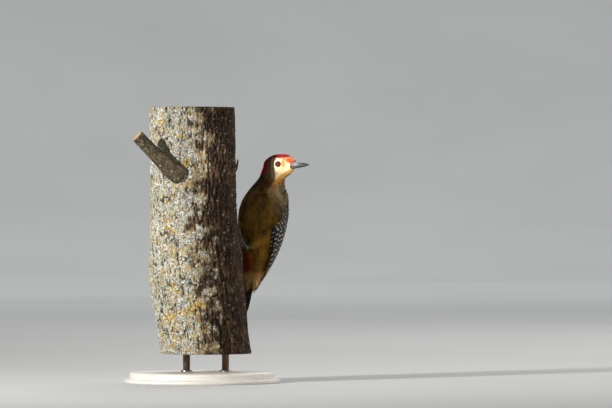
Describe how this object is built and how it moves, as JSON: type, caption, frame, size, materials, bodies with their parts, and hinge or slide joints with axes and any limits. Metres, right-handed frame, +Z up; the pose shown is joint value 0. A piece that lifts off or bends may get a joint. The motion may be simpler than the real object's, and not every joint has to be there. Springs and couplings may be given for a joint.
{
  "type": "red-bellied woodpecker on a trunk perch",
  "caption": "Life-size still woodpecker with a red crown and barred wings, clinging to a short cut length of trunk on a plain round stand.",
  "frame": {"origin": "centre of the stand base's underside", "axes": "+Z up along the trunk; +X to the right and +Y away, as seen from the side that the bird looks back towards"},
  "size_m": [0.2096, 0.176, 0.311],
  "materials": {
    "plumage": "grey-buff body feathers, red on the crown and nape, matt",
    "barred_plumage": "black feathers with cream-white bars, slight sheen",
    "tail_plumage": "stiff black tail feathers with white bars in the middle",
    "bill_horn": "slate horn, paler at the root, satin",
    "claw_horn": "dark horn, satin",
    "eye": "dark red-brown iris, black pupil, wet gloss",
    "foot_skin": "grey-olive scaled skin",
    "bark": "rough furrowed bark with pale crusty lichen, sawn ends",
    "stand_lacquer": "pale matt lacquer",
    "stand_steel": "brushed"
  },
  "bodies": {
    "root": {"head": "plumage", "neck": "plumage", "breast": "plumage", "belly": "plumage", "vent": "plumage", "wing_left_coverts": "barred_plumage", "wing_left_flight": "barred_plumage", "wing_right_coverts": "barred_plumage", "wing_right_flight": "barred_plumage", "tail": "tail_plumage", "bill_upper": "bill_horn", "bill_lower": "bill_horn", "eye_left": "eye", "eye_right": "eye", "thigh_left": "plumage", "tarsus_left": "foot_skin", "toe_left_inner_front": "foot_skin", "claw_left_inner_front": "claw_horn", "toe_left_outer_front": "foot_skin", "claw_left_outer_front": "claw_horn", "toe_left_outer_side": "foot_skin", "claw_left_outer_side": "claw_horn", "toe_left_hind": "foot_skin", "claw_left_hind": "claw_horn", "thigh_right": "plumage", "tarsus_right": "foot_skin", "toe_right_inner_front": "foot_skin", "claw_right_inner_front": "claw_horn", "toe_right_outer_front": "foot_skin", "claw_right_outer_front": "claw_horn", "toe_right_outer_side": "foot_skin", "claw_right_outer_side": "claw_horn", "toe_right_hind": "foot_skin", "claw_right_hind": "claw_horn", "perch_trunk": "bark", "perch_branch_stub": "bark", "perch_snag": "bark", "stand_base": "stand_lacquer", "stand_rod_left": "stand_steel", "stand_rod_right": "stand_steel"}
  },
  "joints": []
}
